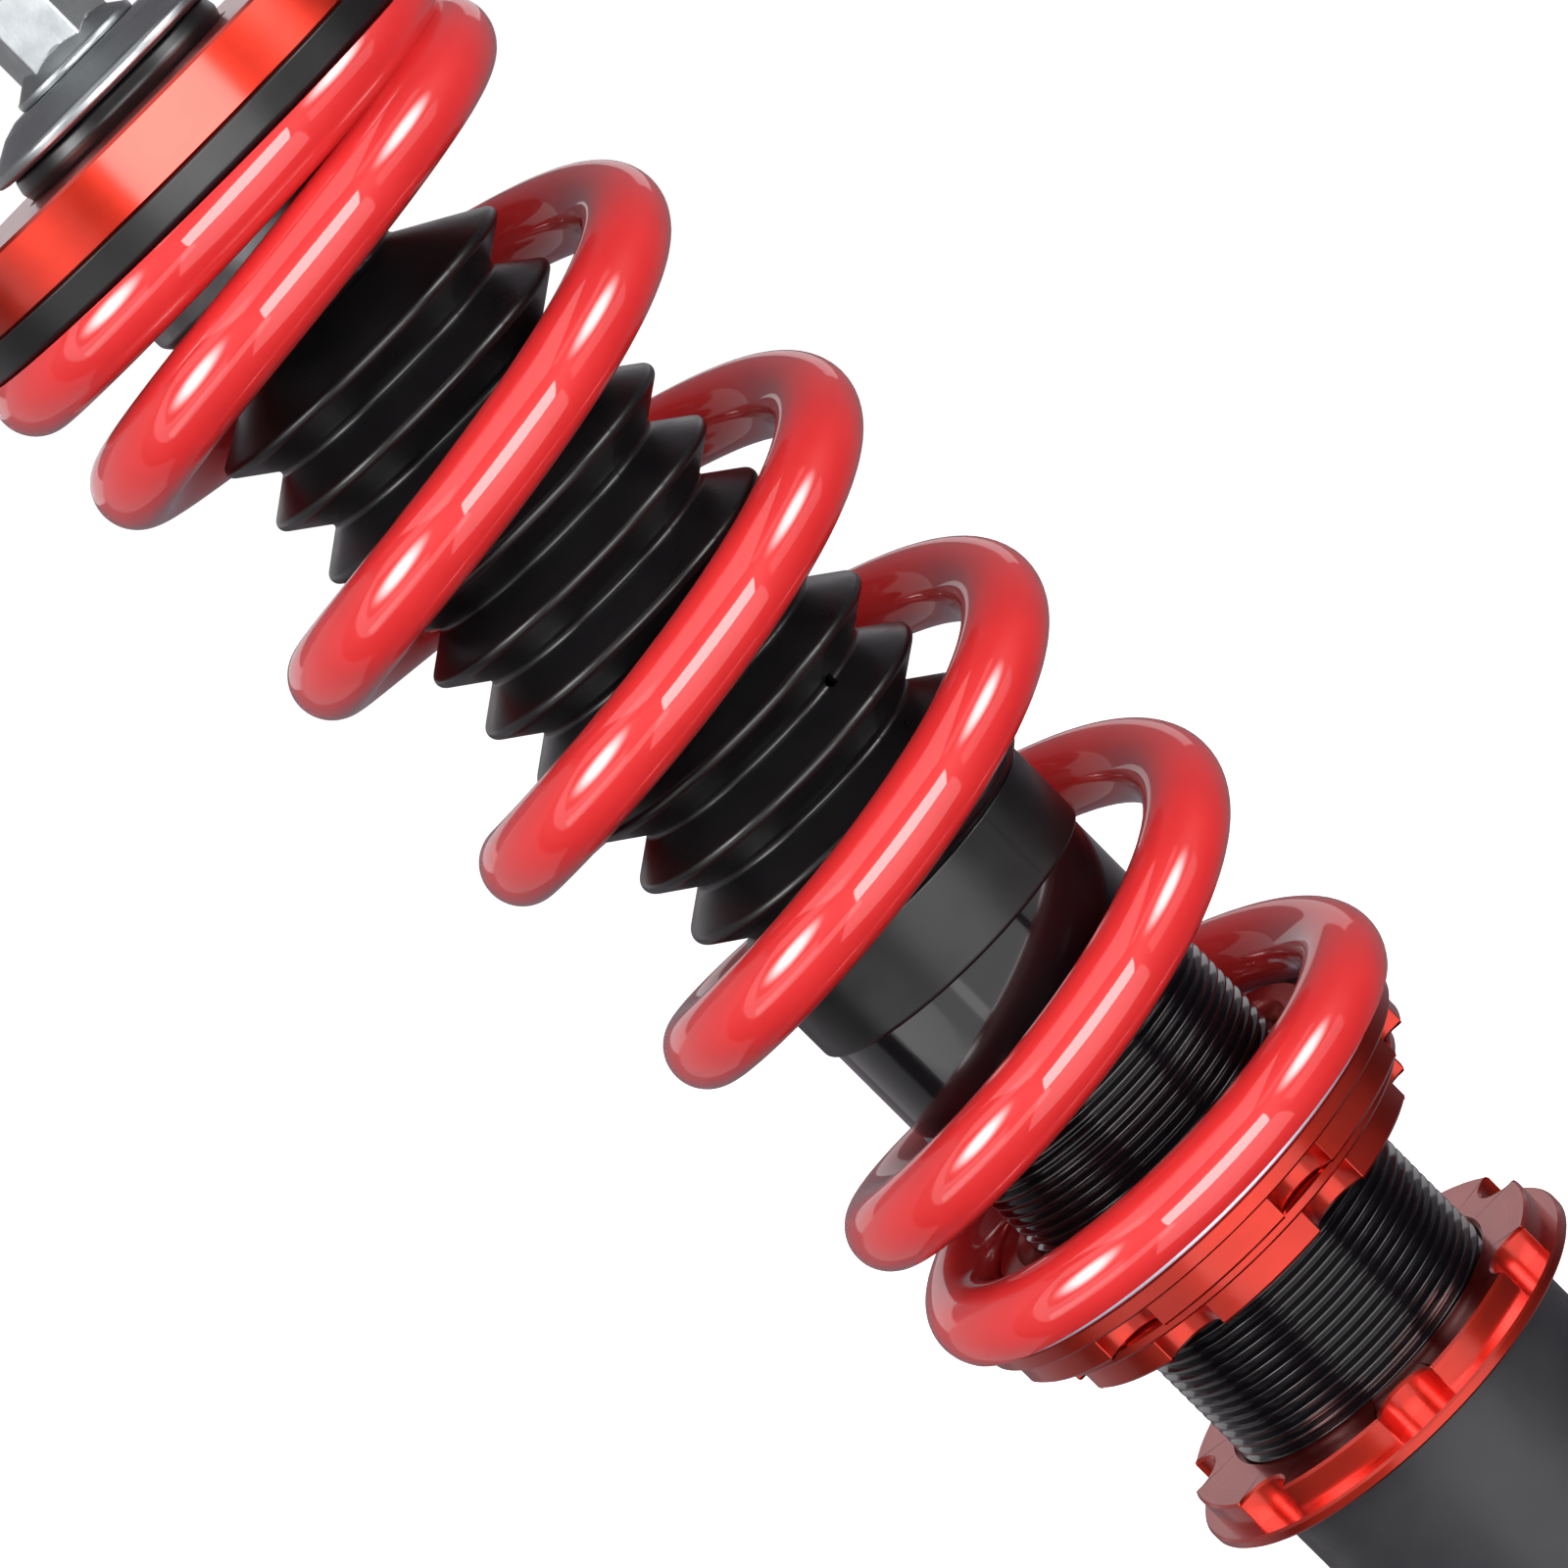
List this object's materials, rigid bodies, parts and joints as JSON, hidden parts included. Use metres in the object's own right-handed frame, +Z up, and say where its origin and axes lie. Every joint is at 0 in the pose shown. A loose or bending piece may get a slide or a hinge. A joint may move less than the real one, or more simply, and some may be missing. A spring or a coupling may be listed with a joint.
{
  "type": "coilover",
  "caption": "Height-adjustable coilover: monotube damper screwed into a lower bracket tube, coil spring on a screwed perch, bellows boot, lower eye and top stud.",
  "frame": {"origin": "centre of the lower eye's bore", "axes": "+Z up along the damper towards the top stud, +Y along the lower eye"},
  "size_m": [0.1012, 0.1012, 0.493],
  "materials": {
    "bracket_coat": "satin gunmetal powder coat",
    "rubber": "moulded black rubber, slight sheen",
    "zinc_steel": "bright zinc plate",
    "tube_coat": "gloss black coating",
    "machined_steel": "turned steel",
    "bare_aluminium": "machined",
    "low_friction_plastic": "filled PTFE",
    "chromed_rod": "hard chrome, ground",
    "bump_foam": "microcellular foam",
    "red_anodised": "turned and anodised red",
    "red_gloss_paint": "gloss red powder coat"
  },
  "bodies": {
    "bracket": {"bracket_tube": "bracket_coat", "eye_lug": "bracket_coat", "eye_bush": "rubber"},
    "eye_sleeve": {"eye_sleeve": "zinc_steel"},
    "bracket_lock": {"bracket_lock_ring": "red_anodised"},
    "damper": {"damper_tube": "tube_coat", "end_cap": "machined_steel", "gas_valve_plug": "machined_steel", "rod_guide": "bare_aluminium", "guide_bush": "low_friction_plastic", "rod_seal": "rubber", "gland_nut": "machined_steel", "wiper_seal": "rubber", "dust_boot": "rubber"},
    "gas_piston": {"floating_piston": "bare_aluminium", "floating_piston_ring": "low_friction_plastic"},
    "rod": {"piston_rod": "chromed_rod", "damper_piston": "bare_aluminium", "piston_band": "low_friction_plastic", "compression_shims": "machined_steel", "rebound_shims": "machined_steel", "piston_nut": "machined_steel", "rebound_stop": "rubber", "bump_stop": "bump_foam", "bump_cup": "zinc_steel", "lower_bush": "rubber", "centre_sleeve": "zinc_steel", "upper_spring_seat": "red_anodised", "spring_isolator": "rubber", "upper_bush": "rubber", "upper_cup_washer": "zinc_steel", "flange_nut": "zinc_steel"},
    "spring_foot": {"perch_slip_washer": "machined_steel", "coil_spring": "red_gloss_paint"},
    "perch": {"spring_perch": "red_anodised"},
    "perch_lock": {"perch_lock_ring": "red_anodised"}
  },
  "joints": [
    {"name": "eye_twist", "type": "hinge", "parent": "bracket", "child": "eye_sleeve", "pos_m": [0, 0, 0], "axis": [0, 1, 0], "range_deg": [-12, 12], "stiffness_Nm_per_rad": 30},
    {"name": "bracket_lock_travel", "type": "slide", "parent": "bracket", "child": "bracket_lock", "axis": [0, 0, 1], "range_m": [0, 0.01]},
    {"name": "ride_height", "type": "slide", "parent": "bracket", "child": "damper", "axis": [0, 0, 1], "range_m": [0, 0.03]},
    {"name": "damper_stroke", "type": "slide", "parent": "damper", "child": "rod", "axis": [0, 0, 1], "range_m": [-0.095, 0], "stiffness_N_per_m": 60000, "springref_m": 0.02, "deforming": ["coil_spring", "dust_boot", "bump_stop"]},
    {"name": "gas_piston_travel", "type": "slide", "parent": "damper", "child": "gas_piston", "axis": [0, 0, 1], "range_m": [-0.018, 0]},
    {"name": "perch_travel", "type": "slide", "parent": "damper", "child": "spring_foot", "axis": [0, 0, 1], "range_m": [-0.01, 0]},
    {"name": "perch_turn", "type": "hinge", "parent": "spring_foot", "child": "perch", "pos_m": [0, 0, 0.19], "axis": [0, 0, 1], "range_deg": [-1801, 0]},
    {"name": "perch_lock_travel", "type": "slide", "parent": "spring_foot", "child": "perch_lock", "axis": [0, 0, 1], "range_m": [-0.006, 0]}
  ],
  "couplings": [
    {"joint": "gas_piston_travel", "follows": "damper_stroke", "ratio": 0.18904},
    {"joint": "perch_turn", "follows": "perch_travel", "rad_per_m": 3141.6}
  ]
}
